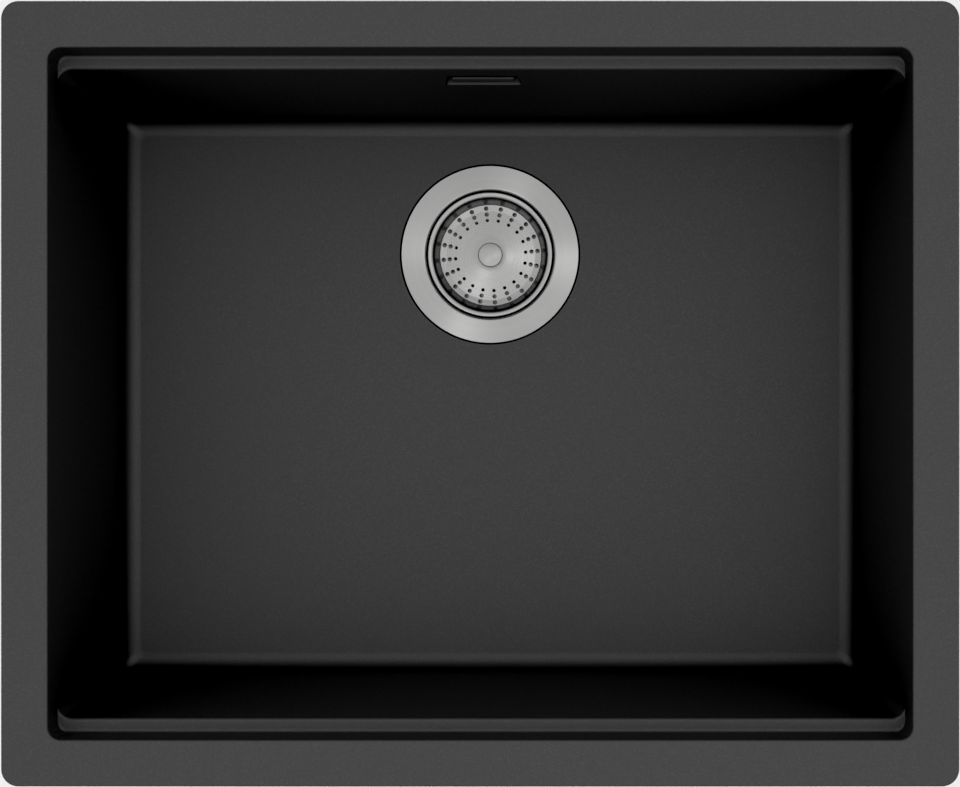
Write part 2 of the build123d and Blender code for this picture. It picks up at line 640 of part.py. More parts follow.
def overflow_cover():
    """Plate in the overflow recess, held by two legs in the passage."""
    top_depth = OVERFLOW_DEPTH - RECESS_HEIGHT / 2 + COVER_FROM_TOP
    front = OPENING_WIDTH / 2 - LEDGE_WIDTH - top_depth * SIDE_SLOPE - COVER_PROUD
    outline = RectangleRounded(COVER_LENGTH, COVER_HEIGHT, COVER_CORNER_RADIUS)
    cover = upright_plate(Pos(0, -top_depth - COVER_HEIGHT / 2) * outline, front, COVER_THICKNESS)
    leg = Rectangle(COVER_LEG, COVER_LEG_HEIGHT)
    for sign in (-1, 1):
        x = sign * (PASSAGE_LENGTH / 2 - CLEARANCE - COVER_LEG / 2)
        cover += upright_plate(Pos(x, -OVERFLOW_DEPTH) * leg, front + COVER_THICKNESS / 2, COVER_LEG_LENGTH)
    return cover


def head_outline():
    """Flange outline of the collecting box with its two screw holes."""
    outline = RectangleRounded(HEAD_FLANGE_LENGTH, HEAD_FLANGE_HEIGHT, HEAD_CORNER_RADIUS)
    for sign in (-1, 1):
        outline -= Pos(sign * HEAD_SCREW_SPAN / 2, 0) * Circle(HEAD_SCREW_RADIUS + SCREW_CLEARANCE)
    return outline


def overflow_gasket():
    """Flat gasket between the pad and the collecting box."""
    outline = head_outline() - RectangleRounded(PASSAGE_LENGTH, PASSAGE_HEIGHT, PASSAGE_CORNER_RADIUS)
    return upright_plate(Pos(0, -OVERFLOW_DEPTH) * outline, PAD_FACE, OVERFLOW_GASKET_THICKNESS)


def overflow_head():
    """Collecting box with its flange and a socket for the pipe."""
    centre = Pos(0, -OVERFLOW_DEPTH)
    head = upright_plate(centre * head_outline(), HEAD_FRONT, HEAD_FLANGE_THICKNESS)
    box = RectangleRounded(BOX_LENGTH, BOX_HEIGHT, BOX_CORNER_RADIUS)
    head += upright_plate(centre * box, HEAD_FRONT, BOX_DEPTH)
    socket_top = -OVERFLOW_DEPTH - BOX_HEIGHT / 2 + BOX_WALL
    socket_length = socket_top - SOCKET_END
    socket_middle = Pos(0, PIPE_Y, SOCKET_END + socket_length / 2)
    head += socket_middle * Cylinder(SOCKET_RADIUS, socket_length)
    space = RectangleRounded(BOX_LENGTH - 2 * BOX_WALL, BOX_HEIGHT - 2 * BOX_WALL, BOX_CORNER_RADIUS - 1)
    head -= upright_plate(centre * space, HEAD_FRONT - 1, BOX_DEPTH - BOX_WALL + 1)
    head -= Pos(0, PIPE_Y, SOCKET_END) * Cylinder(SOCKET_BORE_RADIUS, 2 * (PIPE_IN_SOCKET + CLEARANCE))
    head -= socket_middle * Cylinder(PIPE_BORE_RADIUS, socket_length + 2)
    return head


def overflow_inserts():
    """Threaded brass inserts in the pad."""
    insert = Circle(HEAD_INSERT_RADIUS) - Circle(HEAD_INSERT_BORE_RADIUS)
    inserts = []
    for sign in (-1, 1):
        place = Pos(sign * HEAD_SCREW_SPAN / 2, -OVERFLOW_DEPTH)
        inserts.append(upright_plate(place * insert, PAD_FACE - HEAD_INSERT_LENGTH, HEAD_INSERT_LENGTH))
    return Compound(inserts)


def overflow_screws():
    """Pan-head screws of the collecting box, with a cross slot."""
    shank = HEAD_FLANGE_THICKNESS + OVERFLOW_GASKET_THICKNESS + HEAD_INSERT_LENGTH - 1
    screw = turned(
        (0, -shank),
        (HEAD_SCREW_RADIUS, -shank),
        (HEAD_SCREW_RADIUS, 0),
        (HEAD_SCREW_HEAD_RADIUS, 0),
        (HEAD_SCREW_HEAD_RADIUS, HEAD_SCREW_HEAD_HEIGHT / 2),
        (HEAD_SCREW_HEAD_RADIUS - 1, HEAD_SCREW_HEAD_HEIGHT),
        (0, HEAD_SCREW_HEAD_HEIGHT),
    )
    for angle in (0, 90):
        slot = Box(HEAD_SCREW_HEAD_RADIUS, 0.9, HEAD_SCREW_HEAD_HEIGHT)
        screw -= Pos(0, 0, HEAD_SCREW_HEAD_HEIGHT) * Rot(0, 0, angle) * slot
    screws = []
    for sign in (-1, 1):
        place = Pos(sign * HEAD_SCREW_SPAN / 2, HEAD_BACK, -OVERFLOW_DEPTH)
        screws.append(place * Rot(-90, 0, 0) * screw)
    return Compound(screws)


def overflow_pipe():
    """Bent pipe from the collecting box down to the port of the waste body."""
    drain_y = DRAIN.position.Y
    top = SOCKET_END + PIPE_IN_SOCKET
    bottom = DRAIN.position.Z + PORT_AXIS
    end = drain_y + PORT_REACH - PIPE_IN_SOCKET
    path = FilletPolyline((0, PIPE_Y, top), (0, PIPE_Y, bottom), (0, end, bottom), radius=PIPE_BEND_RADIUS)
    start = Plane((0, PIPE_Y, top), x_dir=(1, 0, 0), z_dir=(0, 0, -1))
    wall = Circle(PIPE_RADIUS) - Circle(PIPE_BORE_RADIUS)
    return sweep(start * wall, path)


def slip_nut():
    """Fluted nut with its socket end at z 0 and the pipe leaving downwards."""
    end = -SLIP_SEAL_THICKNESS - SLIP_NUT_END
    nut = turned(
        (PIPE_RADIUS + SCREW_CLEARANCE, end),
        (SLIP_NUT_RADIUS - 1.2, end),
        (SLIP_NUT_RADIUS, end + 1.2),
        (SLIP_NUT_RADIUS, SLIP_NUT_GRIP),
        (SOCKET_RADIUS + RUNNING, SLIP_NUT_GRIP),
        (SOCKET_RADIUS + RUNNING, -SLIP_SEAL_THICKNESS),
        (PIPE_RADIUS + SCREW_CLEARANCE, -SLIP_SEAL_THICKNESS),
    )
    flute_length = 2 * (SLIP_NUT_GRIP - end)
    flute = Pos(SLIP_NUT_RADIUS + SLIP_NUT_FLUTE_RADIUS / 2, 0, 0) * Cylinder(SLIP_NUT_FLUTE_RADIUS, flute_length)
    flutes = [Rot(0, 0, number * 360 / SLIP_NUT_FLUTES) * flute for number in range(SLIP_NUT_FLUTES)]
    return nut - flutes


def slip_seal():
    """Tapered rubber ring between socket, pipe and nut."""
    return turned(
        (PIPE_RADIUS + RUNNING, -SLIP_SEAL_THICKNESS),
        (SOCKET_RADIUS - CLEARANCE, -SLIP_SEAL_THICKNESS),
        (SOCKET_RADIUS - CLEARANCE, -SLIP_SEAL_THICKNESS / 2),
        (SOCKET_RADIUS - 0.6, 0),
        (PIPE_RADIUS + RUNNING, 0),
    )


UPPER_JOINT = Pos(0, PIPE_Y, SOCKET_END)
LOWER_JOINT = DRAIN * Pos(0, PORT_REACH, PORT_AXIS) * Rot(90, 0, 0)

PIECES = {
    "sink_bowl": sink_bowl(),
    "rim_inserts": rim_inserts(),
    "flange_seal": flange_seal(),
    "strainer_cup": strainer_cup(),
    "body_gasket": body_gasket(),
    "waste_body": waste_body(),
    "centre_screw": centre_screw(),
    "centre_nut": centre_nut(),
    "screw_washer": screw_washer(),
    "stem_sleeve": stem_sleeve(),
    "strainer_basket": strainer_basket(),
    "basket_knob": basket_knob(),
    "basket_stem": basket_stem(),
    "stopper_carrier": stopper_carrier(),
    "stopper_seal": stopper_seal(),
    "overflow_cover": overflow_cover(),
    "overflow_gasket": overflow_gasket(),
    "overflow_head": overflow_head(),
    "overflow_inserts": overflow_inserts(),
    "overflow_screws": overflow_screws(),
    "overflow_pipe": overflow_pipe(),
    "upper_pipe_nut": UPPER_JOINT * slip_nut(),
    "upper_pipe_seal": UPPER_JOINT * slip_seal(),
    "lower_pipe_nut": LOWER_JOINT * slip_nut(),
    "lower_pipe_seal": LOWER_JOINT * slip_seal(),
}

os.makedirs("parts", exist_ok=True)
for name, piece in PIECES.items():
    export_step(piece, f"parts/{name}.step")
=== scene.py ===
"""Looks of a black composite kitchen sink with a basket-strainer waste and an overflow."""

import math

import bmesh
import bpy
from bpy.props import FloatProperty, FloatVectorProperty, PointerProperty
from bpy.types import Operator, Panel, PropertyGroup
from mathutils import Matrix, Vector


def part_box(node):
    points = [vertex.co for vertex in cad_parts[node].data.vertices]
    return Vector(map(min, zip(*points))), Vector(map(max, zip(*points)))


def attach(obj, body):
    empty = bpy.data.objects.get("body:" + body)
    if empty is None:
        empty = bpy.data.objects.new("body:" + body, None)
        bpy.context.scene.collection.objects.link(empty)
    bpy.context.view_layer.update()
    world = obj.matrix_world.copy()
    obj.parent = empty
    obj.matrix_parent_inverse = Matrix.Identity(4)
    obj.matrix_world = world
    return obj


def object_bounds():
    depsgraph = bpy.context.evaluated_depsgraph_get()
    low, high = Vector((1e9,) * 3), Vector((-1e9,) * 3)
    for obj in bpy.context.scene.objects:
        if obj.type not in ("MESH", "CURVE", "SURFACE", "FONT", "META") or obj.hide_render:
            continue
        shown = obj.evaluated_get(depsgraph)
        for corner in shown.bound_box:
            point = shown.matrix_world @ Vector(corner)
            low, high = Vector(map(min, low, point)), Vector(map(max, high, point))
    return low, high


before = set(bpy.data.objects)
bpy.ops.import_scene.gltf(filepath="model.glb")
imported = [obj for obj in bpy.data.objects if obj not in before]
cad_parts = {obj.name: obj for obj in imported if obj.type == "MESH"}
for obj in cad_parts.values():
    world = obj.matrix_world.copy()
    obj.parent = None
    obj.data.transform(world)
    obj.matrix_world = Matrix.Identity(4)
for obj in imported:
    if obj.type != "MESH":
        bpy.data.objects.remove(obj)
CAD_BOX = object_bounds()

bl_info = {
    "name": "Composite sink looks",
    "version": (1, 0, 0),
    "blender": (4, 5, 0),
    "location": "3D View > Sidebar > Sink",
    "description": "Finishes, seal bead, outlet thread and studio for a composite kitchen sink",
    "category": "Material",
}

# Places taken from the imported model, in metres.
BASKET_LOW, BASKET_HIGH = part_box("strainer_basket")
DRAIN_X = (BASKET_LOW.x + BASKET_HIGH.x) / 2
DRAIN_Y = (BASKET_LOW.y + BASKET_HIGH.y) / 2
CUP_LOW, CUP_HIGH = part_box("strainer_cup")
FLANGE_RADIUS = (CUP_HIGH.x - CUP_LOW.x) / 2
SEAL_LOW, SEAL_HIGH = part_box("flange_seal")
OUTLET_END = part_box("waste_body")[0].z

# Outlet of the waste: its outside radius, and where its thread starts and how far it runs.
OUTLET_RADIUS = 0.0239
THREAD_START = 0.0012
THREAD_LENGTH = 0.021

# The moulded face gives way to the coarse back between these heights and outward slopes.
UNDERSIDE = (-0.2035, -0.2045)
BELOW_RIM = (-0.006, -0.009)
OUTWARD = (0.05, 0.1)
COARSE_BACK = (0.035, 0.035, 0.036)

# Steel: turn of its highlights; gain of the paler copy of the steel on its flat faces, which is painted
# light; gain of the painted shade inside the cup; and ray lengths and colour of the painted shade that
# darkens the steel where it is seen in other faces.
BRUSH_ROTATION = 0.25
FLAT_PAINTED_LIGHT_GAIN = 1.18
CUP_SHADE_GAIN = 0.58
CLOSE_BY = 0.0075
FURTHER_OFF = 0.0145
PAINTED_REFLECTION_SHADE = (0.01, 0.01, 0.01)

# Studio: the floor lies just under the outlet, and the light panels hang at one height.
FLOOR_HALF = 6.0
FLOOR_GAP = 0.0004
PANEL_HEIGHT = 1.6
PANEL_TARGET = (DRAIN_X, DRAIN_Y, -0.2)


class SINK_PG_composite(PropertyGroup):
    """Stone composite of the bowl."""

    body: FloatVectorProperty(
        name="Body", description="Colour of the resin and fine sand", subtype="COLOR",
        size=3, min=0, max=1, default=(0.0062, 0.0062, 0.0064))
    fleck: FloatVectorProperty(
        name="Fleck", description="Colour of the paler grains", subtype="COLOR",
        size=3, min=0, max=1, default=(0.016, 0.016, 0.0164))
    grain: FloatProperty(
        name="Grain", description="Size of one grain", subtype="DISTANCE", unit="LENGTH",
        default=0.0005, min=0.0001, max=0.01, precision=5)
    roughness: FloatProperty(
        name="Roughness", description="Roughness of the moulded face", subtype="FACTOR",
        default=0.575, min=0, max=1)
    relief: FloatProperty(
        name="Relief", description="Height of the moulded texture", subtype="DISTANCE", unit="LENGTH",
        default=0.00003, min=0, max=0.001, precision=6)


class SINK_PG_metal(PropertyGroup):
    """Stainless steel and brass."""

    steel: FloatVectorProperty(
        name="Steel", description="Colour of the stainless steel", subtype="COLOR",
        size=3, min=0, max=1, default=(0.316, 0.316, 0.313))
    brass: FloatVectorProperty(
        name="Brass", description="Colour of the inserts", subtype="COLOR",
        size=3, min=0, max=1, default=(0.62, 0.42, 0.17))
    brushed: FloatProperty(
        name="Brushed roughness", description="Roughness across the brush lines", subtype="FACTOR",
        default=0.22, min=0, max=1)
    pressed: FloatProperty(
        name="Pressed roughness", description="Roughness of the pressed dish", subtype="FACTOR",
        default=0.26, min=0, max=1)
    scatter: FloatProperty(
        name="Scatter", description="Share of light that the scratches of a flat face scatter",
        subtype="FACTOR", default=0.5, min=0, max=1)
    line: FloatProperty(
        name="Brush line", description="Width of one brush line", subtype="DISTANCE", unit="LENGTH",
        default=0.00022, min=0.00002, max=0.01, precision=6)
    # Painted shade: how far the steel's colour is darkened where it is seen in reflections.
    painted_reflection_dim: FloatProperty(
        name="Dim in reflections", description="How much darker the steel looks when seen in the walls",
        subtype="FACTOR", default=0.97, min=0, max=1)


class SINK_PG_fittings(PropertyGroup):
    """Plastic and rubber of the plumbing."""

    black: FloatVectorProperty(
        name="Black plastic", description="Colour of the waste body, box and nuts", subtype="COLOR",
        size=3, min=0, max=1, default=(0.024, 0.024, 0.026))
    trim: FloatVectorProperty(
        name="Cover", description="Colour of the overflow cover", subtype="COLOR",
        size=3, min=0, max=1, default=(0.018, 0.018, 0.019))
    grey: FloatVectorProperty(
        name="Pipe", description="Colour of the overflow pipe", subtype="COLOR",
        size=3, min=0, max=1, default=(0.30, 0.31, 0.32))
    white: FloatVectorProperty(
        name="Sleeve", description="Colour of the stem sleeve", subtype="COLOR",
        size=3, min=0, max=1, default=(0.72, 0.72, 0.69))
    rubber: FloatVectorProperty(
        name="Rubber", description="Colour of the seals", subtype="COLOR",
        size=3, min=0, max=1, default=(0.006, 0.006, 0.0064))
    thread_pitch: FloatProperty(
        name="Thread pitch", description="Distance between turns of the outlet thread",
        subtype="DISTANCE", unit="LENGTH", default=0.00231, min=0.001, max=0.01, precision=5)
    thread_crest: FloatProperty(
        name="Thread crest", description="How far the outlet thread stands out",
        subtype="DISTANCE", unit="LENGTH", default=0.00035, min=0.0001, max=0.003, precision=5)


class SINK_PG_stage(PropertyGroup):
    """Camera, floor and lights."""

    camera: FloatVectorProperty(
        name="Camera", description="Place of the camera", subtype="TRANSLATION", unit="LENGTH",
        size=3, default=(0.0555, -0.0048, 1.74))
    lens: FloatProperty(
        name="Lens", description="Focal length in millimetres on a 36 mm sensor",
        default=112.7, min=10, max=400)
    shift: FloatVectorProperty(
        name="Shift", description="Shift of the frame sideways and upwards",
        size=2, default=(-0.1, 0.0089), min=-1, max=1)
    floor: FloatVectorProperty(
        name="Floor", description="Colour of the floor", subtype="COLOR",
        size=3, min=0, max=1, default=(0.93, 0.93, 0.925))
    zenith: FloatProperty(
        name="Overhead", description="Brightness of the soft light overhead",
        default=1.26, min=0, max=10)
    horizon: FloatProperty(
        name="Horizon", description="Brightness of the soft light at the horizon",
        default=0.74, min=0, max=10)
    panel: FloatProperty(
        name="Light panels", description="Power of each of the three light panels",
        subtype="POWER", unit="POWER", default=0.66, min=0, max=100)
    black: FloatProperty(
        name="Black level", description="Darkest tone that the picture shows",
        default=0.0111, min=0, max=0.1, precision=4)


class SINK_PG_looks(PropertyGroup):
    """All values that a user would change."""

    composite: PointerProperty(
        type=SINK_PG_composite, name="Composite", description="Stone composite of the bowl")
    metal: PointerProperty(
        type=SINK_PG_metal, name="Metal", description="Stainless steel and brass")
    fittings: PointerProperty(
        type=SINK_PG_fittings, name="Fittings", description="Plastic and rubber")
    stage: PointerProperty(
        type=SINK_PG_stage, name="Stage", description="Camera, floor and lights")


def settings(context):
    """Values that the panel shows."""
    return context.scene.sink_looks


def shade(colour, gain):
    """Colour made darker or paler by a gain."""
    return tuple(gain * share for share in colour)


def round_drain(radius, turn, height):
    """Point at a radius and an angle about the drain's axis."""
    return (DRAIN_X + radius * math.cos(turn), DRAIN_Y + radius * math.sin(turn), height)


def put(tree, kind, values=None, **attributes):
    """Adds a node, sets its attributes, then its input values by name or number."""
    node = tree.nodes.new(kind)
    for name, value in attributes.items():
        setattr(node, name, value)
    for name, value in (values or {}).items():
        node.inputs[name].default_value = value
    return node


def math_node(tree, operation, first, second=None):
    """Adds a math node fed by sockets or plain numbers and returns its output."""
    node = put(tree, "ShaderNodeMath", operation=operation)
    for number, value in enumerate((first, second)):
        if value is None:
            continue
        if isinstance(value, (int, float)):
            node.inputs[number].default_value = value
        else:
            tree.links.new(value, node.inputs[number])
    return node.outputs[0]


def spread(tree, value, low, high, to_low=0.0, to_high=1.0):
    """Maps a value from one range to another and returns the output."""
    ranges = {"From Min": low, "From Max": high, "To Min": to_low, "To Max": to_high}
    node = put(tree, "ShaderNodeMapRange", ranges)
    tree.links.new(value, node.inputs["Value"])
    return node.outputs["Result"]


def mix_colour(tree, share, first, second):
    """Mixes two colours, each a socket or three numbers, and returns the output."""
    node = put(tree, "ShaderNodeMix", data_type="RGBA")
    tree.links.new(share, node.inputs["Factor"])
    for name, value in (("A", first), ("B", second)):
        socket = next(s for s in node.inputs if s.name == name and s.type == "RGBA")
        if hasattr(value, "links"):
            tree.links.new(value, socket)
        else:
            socket.default_value = (*value, 1)
    return next(s for s in node.outputs if s.type == "RGBA")


def new_group(name, inputs, outputs):
    """Starts a shader node group and returns (group, its input node, its output node)."""
    group = bpy.data.node_groups.new(name, "ShaderNodeTree")
    for label, kind, default in inputs:
        socket = group.interface.new_socket(label, in_out="INPUT", socket_type=kind)
        if default is not None:
            socket.default_value = default
    for label in outputs:
        group.interface.new_socket(label, in_out="OUTPUT", socket_type="NodeSocketFloat")
    return group, group.nodes.new("NodeGroupInput"), group.nodes.new("NodeGroupOutput")


def stone_grain_group():
    """Packed grains: pale flecks, slow cloudiness and a fine relief."""
    group, ins, outs = new_group(
        "Stone grain",
        [("Vector", "NodeSocketVector", None), ("Size", "NodeSocketFloat", 0.0007)],
        ["Fleck", "Cloud", "Height"])
    link = group.links.new
    scale = math_node(group, "DIVIDE", 1.0, ins.outputs["Size"])
    cells = put(group, "ShaderNodeTexVoronoi", feature="F1")
    fine = put(group, "ShaderNodeTexNoise", {"Detail": 3.0, "Roughness": 0.6})
    slow = put(group, "ShaderNodeTexNoise", {"Scale": 9.0, "Detail": 2.0})
    for node in (cells, fine, slow):
        link(ins.outputs["Vector"], node.inputs["Vector"])
    link(scale, cells.inputs["Scale"])
    link(math_node(group, "MULTIPLY", scale, 0.6), fine.inputs["Scale"])
    tint = put(group, "ShaderNodeSeparateColor")
    link(cells.outputs["Color"], tint.inputs[0])
    pale = spread(group, tint.outputs[0], 0.55, 1.0)
    link(math_node(group, "POWER", pale, 1.6), outs.inputs["Fleck"])
    link(spread(group, slow.outputs[0], 0.3, 0.7), outs.inputs["Cloud"])
    gaps = math_node(group, "MULTIPLY", cells.outputs["Distance"], -0.5)
    link(math_node(group, "ADD", gaps, fine.outputs[0]), outs.inputs["Height"])
    return group


def round_brush_group():
    """Lines that run round the drain's axis, as left by turning or round brushing."""
    group, ins, outs = new_group(
        "Round brush",
        [("Vector", "NodeSocketVector", None), ("Line", "NodeSocketFloat", 0.0002)],
        ["Streak", "Sector", "Flat", "Height"])
    link = group.links.new
    shape = put(group, "ShaderNodeNewGeometry")
    upright = put(group, "ShaderNodeSeparateXYZ")
    link(shape.outputs["Normal"], upright.inputs[0])
    link(spread(group, upright.outputs["Z"], 0.86, 0.95), outs.inputs["Flat"])
    centred = put(group, "ShaderNodeVectorMath", {1: (DRAIN_X, DRAIN_Y, 0.0)}, operation="SUBTRACT")
    link(ins.outputs["Vector"], centred.inputs[0])
    part = put(group, "ShaderNodeSeparateXYZ")
    link(centred.outputs[0], part.inputs[0])
    x, y, z = part.outputs
    x_squared = math_node(group, "MULTIPLY", x, x)
    y_squared = math_node(group, "MULTIPLY", y, y)
    radius = math_node(group, "SQRT", math_node(group, "ADD", x_squared, y_squared))
    turn = math_node(group, "ARCTAN2", y, x)
    lines = math_node(group, "DIVIDE", radius, ins.outputs["Line"])
    steps = math_node(group, "DIVIDE", z, ins.outputs["Line"])
    along = put(group, "ShaderNodeCombineXYZ")
    link(lines, along.inputs[0])
    link(math_node(group, "SINE", turn), along.inputs[1])
    link(math_node(group, "ADD", math_node(group, "COSINE", turn), steps), along.inputs[2])
    fine = put(group, "ShaderNodeTexNoise", {"Scale": 1.0, "Detail": 2.0, "Roughness": 0.7})
    link(along.outputs[0], fine.inputs["Vector"])
    wide = put(group, "ShaderNodeTexNoise", {"Scale": 0.06, "Detail": 2.0})
    link(along.outputs[0], wide.inputs["Vector"])
    link(spread(group, fine.outputs[0], 0.3, 0.7), outs.inputs["Streak"])
    link(spread(group, wide.outputs[0], 0.35, 0.65), outs.inputs["Sector"])
    link(fine.outputs[0], outs.inputs["Height"])
    return group


def moulded_skin_group():
    """Fine spark texture and faint flow marks of moulded plastic and rubber."""
    group, ins, outs = new_group(
        "Moulded skin",
        [("Vector", "NodeSocketVector", None), ("Size", "NodeSocketFloat", 0.0004)],
        ["Flow", "Height"])
    link = group.links.new
    scale = math_node(group, "DIVIDE", 1.0, ins.outputs["Size"])
    fine = put(group, "ShaderNodeTexNoise", {"Detail": 2.0})
    slow = put(group, "ShaderNodeTexNoise", {"Scale": 35.0, "Detail": 3.0, "Distortion": 1.2})
    for node in (fine, slow):
        link(ins.outputs["Vector"], node.inputs["Vector"])
    link(scale, fine.inputs["Scale"])
    link(spread(group, slow.outputs[0], 0.3, 0.7), outs.inputs["Flow"])
    link(fine.outputs[0], outs.inputs["Height"])
    return group


def rubbed_edge_group():
    """Mask of the edges that hands, cloths and pans rub."""
    group, ins, outs = new_group("Rubbed edge", [("Width", "NodeSocketFloat", 0.0015)], ["Edge"])
    link = group.links.new
    rounded = put(group, "ShaderNodeBevel", samples=6)
    link(ins.outputs["Width"], rounded.inputs["Radius"])
    shape = put(group, "ShaderNodeNewGeometry")
    facing = put(group, "ShaderNodeVectorMath", operation="DOT_PRODUCT")
    link(rounded.outputs[0], facing.inputs[0])
    link(shape.outputs["Normal"], facing.inputs[1])
    link(spread(group, facing.outputs["Value"], 0.995, 0.9), outs.inputs["Edge"])
    return group


EFFECTS = {
    "Stone grain": stone_grain_group,
    "Round brush": round_brush_group,
    "Moulded skin": moulded_skin_group,
    "Rubbed edge": rubbed_edge_group,
}


def effect(tree, name, vector=None, **values):
    """Places a shared effect in a material with its own values, and builds it at its first use."""
    node = tree.nodes.new("ShaderNodeGroup")
    node.node_tree = bpy.data.node_groups.get(name) or EFFECTS[name]()
    if vector is not None:
        tree.links.new(vector, node.inputs["Vector"])
    for label, value in values.items():
        node.inputs[label].default_value = value
    return node


def new_material(name):
    """Starts a material and returns (material, tree, shader, object coordinates)."""
    material = bpy.data.materials.new(name)
    material.use_nodes = True
    tree = material.node_tree
    shader = next(n for n in tree.nodes if n.type == "BSDF_PRINCIPLED")
    place = put(tree, "ShaderNodeTexCoord")
    return material, tree, shader, place.outputs["Object"]


def bump(tree, shader, height, distance):
    """Feeds the shader's normal from a height."""
    node = put(tree, "ShaderNodeBump", {"Distance": distance})
    tree.links.new(height, node.inputs["Height"])
    tree.links.new(node.outputs[0], shader.inputs["Normal"])


def coarse_back(tree, place):
    """Mask of the bowl's underside and of its outward faces below the rim."""
    part = put(tree, "ShaderNodeSeparateXYZ")
    tree.links.new(place, part.inputs[0])
    under = spread(tree, part.outputs["Z"], *UNDERSIDE)
    below_rim = spread(tree, part.outputs["Z"], *BELOW_RIM)
    shape = put(tree, "ShaderNodeNewGeometry")
    outward = put(tree, "ShaderNodeVectorMath", operation="DOT_PRODUCT")
    tree.links.new(place, outward.inputs[0])
    tree.links.new(shape.outputs["Normal"], outward.inputs[1])
    outer = spread(tree, outward.outputs["Value"], *OUTWARD)
    return math_node(tree, "MAXIMUM", under, math_node(tree, "MULTIPLY", outer, below_rim))


def composite_material(values):
    """Black stone composite: smooth moulded face inside, coarser back outside and underneath."""
    material, tree, shader, place = new_material("Composite")
    link = tree.links.new
    grain = effect(tree, "Stone grain", place, Size=values.grain)
    back = coarse_back(tree, place)
    patchy = spread(tree, grain.outputs["Cloud"], 0.0, 1.0, 0.75, 1.0)
    fleck = math_node(tree, "MULTIPLY", grain.outputs["Fleck"], patchy)
    face = mix_colour(tree, fleck, values.body, values.fleck)
    half_back = math_node(tree, "MULTIPLY", back, 0.5)
    link(mix_colour(tree, half_back, face, COARSE_BACK), shader.inputs["Base Color"])
    gloss = spread(tree, grain.outputs["Fleck"], 0.0, 1.0, values.roughness, values.roughness - 0.08)
    duller = math_node(tree, "MULTIPLY", back, 0.2)
    link(math_node(tree, "ADD", gloss, duller), shader.inputs["Roughness"])
    shader.inputs["Specular IOR Level"].default_value = 0.725
    coarser = spread(tree, back, 0.0, 1.0, 1.0, 4.0)
    height = math_node(tree, "MULTIPLY", grain.outputs["Height"], coarser)
    bump(tree, shader, height, values.relief)
    return material


def steel_material(name, values, roughness, line, turned, near=0.0, shade_below=None):
    """Stainless steel with round brush lines, whose flat faces scatter part of the light.

    Seen in other faces its colour is darkened, a painted shade on its reflections: by near close by,
    and by the value of the panel further off.
    Its flat faces get a paler copy of the steel, painted light set to the overhead light.
    Below the height of the last argument its colour is darker, a painted shade inside the cup.
    """
    material, tree, shader, place = new_material(name)
    link = tree.links.new
    brush = effect(tree, "Round brush", place, Line=line)
    flat = brush.outputs["Flat"]
    streak = brush.outputs["Streak"]
    link(spread(tree, flat, 0.0, 1.0, 1.0, 1.0 - values.scatter), shader.inputs["Metallic"])
    link(spread(tree, streak, 0.0, 1.0, roughness - 0.05, roughness + 0.05), shader.inputs["Roughness"])
    fine_tint = math_node(tree, "MULTIPLY", streak, 0.5)
    wide_tint = math_node(tree, "MULTIPLY", brush.outputs["Sector"], 0.5)
    tint = math_node(tree, "ADD", fine_tint, wide_tint)
    darker = shade(values.steel, 0.93)
    steep = mix_colour(tree, tint, darker, values.steel)
    # Painted light: flat faces take a paler copy of the steel, set to the overhead light so that their
    # scattered share keeps their lit tone.
    level = mix_colour(tree, tint, shade(darker, FLAT_PAINTED_LIGHT_GAIN), shade(values.steel, FLAT_PAINTED_LIGHT_GAIN))
    face = mix_colour(tree, flat, steep, level)
    # Painted shade: below the given height, inside the cup, the steel's colour is darker.
    if shade_below is not None:
        part = put(tree, "ShaderNodeSeparateXYZ")
        link(place, part.inputs[0])
        inside = spread(tree, part.outputs["Z"], shade_below - 0.001, shade_below, 1.0, 0.0)
        face = mix_colour(tree, inside, face, shade(values.steel, CUP_SHADE_GAIN))
    # Painted shade on reflections: where a glossy ray meets the steel its colour turns dark, the more
    # so the further the ray has run.
    path = put(tree, "ShaderNodeLightPath")
    far = spread(tree, path.outputs["Ray Length"], CLOSE_BY, FURTHER_OFF, near, values.painted_reflection_dim)
    painted_reflection_dim = math_node(tree, "MULTIPLY", path.outputs["Is Glossy Ray"], far)
    link(mix_colour(tree, painted_reflection_dim, face, PAINTED_REFLECTION_SHADE), shader.inputs["Base Color"])
    around = put(tree, "ShaderNodeTangent", direction_type="RADIAL", axis="Z")
    link(around.outputs[0], shader.inputs["Tangent"])
    shader.inputs["Anisotropic"].default_value = turned
    shader.inputs["Anisotropic Rotation"].default_value = BRUSH_ROTATION
    bump(tree, shader, brush.outputs["Height"], 0.000004)
    return material


def brass_material(values):
    """Turned brass, a little darker and duller in soft patches."""
    material, tree, shader, place = new_material("Brass")
    link = tree.links.new
    skin = effect(tree, "Moulded skin", place, Size=0.0006)
    flow = skin.outputs["Flow"]
    shader.inputs["Metallic"].default_value = 1.0
    link(mix_colour(tree, flow, shade(values.brass, 0.55), values.brass), shader.inputs["Base Color"])
    link(spread(tree, flow, 0.0, 1.0, 0.45, 0.28), shader.inputs["Roughness"])
    bump(tree, shader, skin.outputs["Height"], 0.00002)
    return material


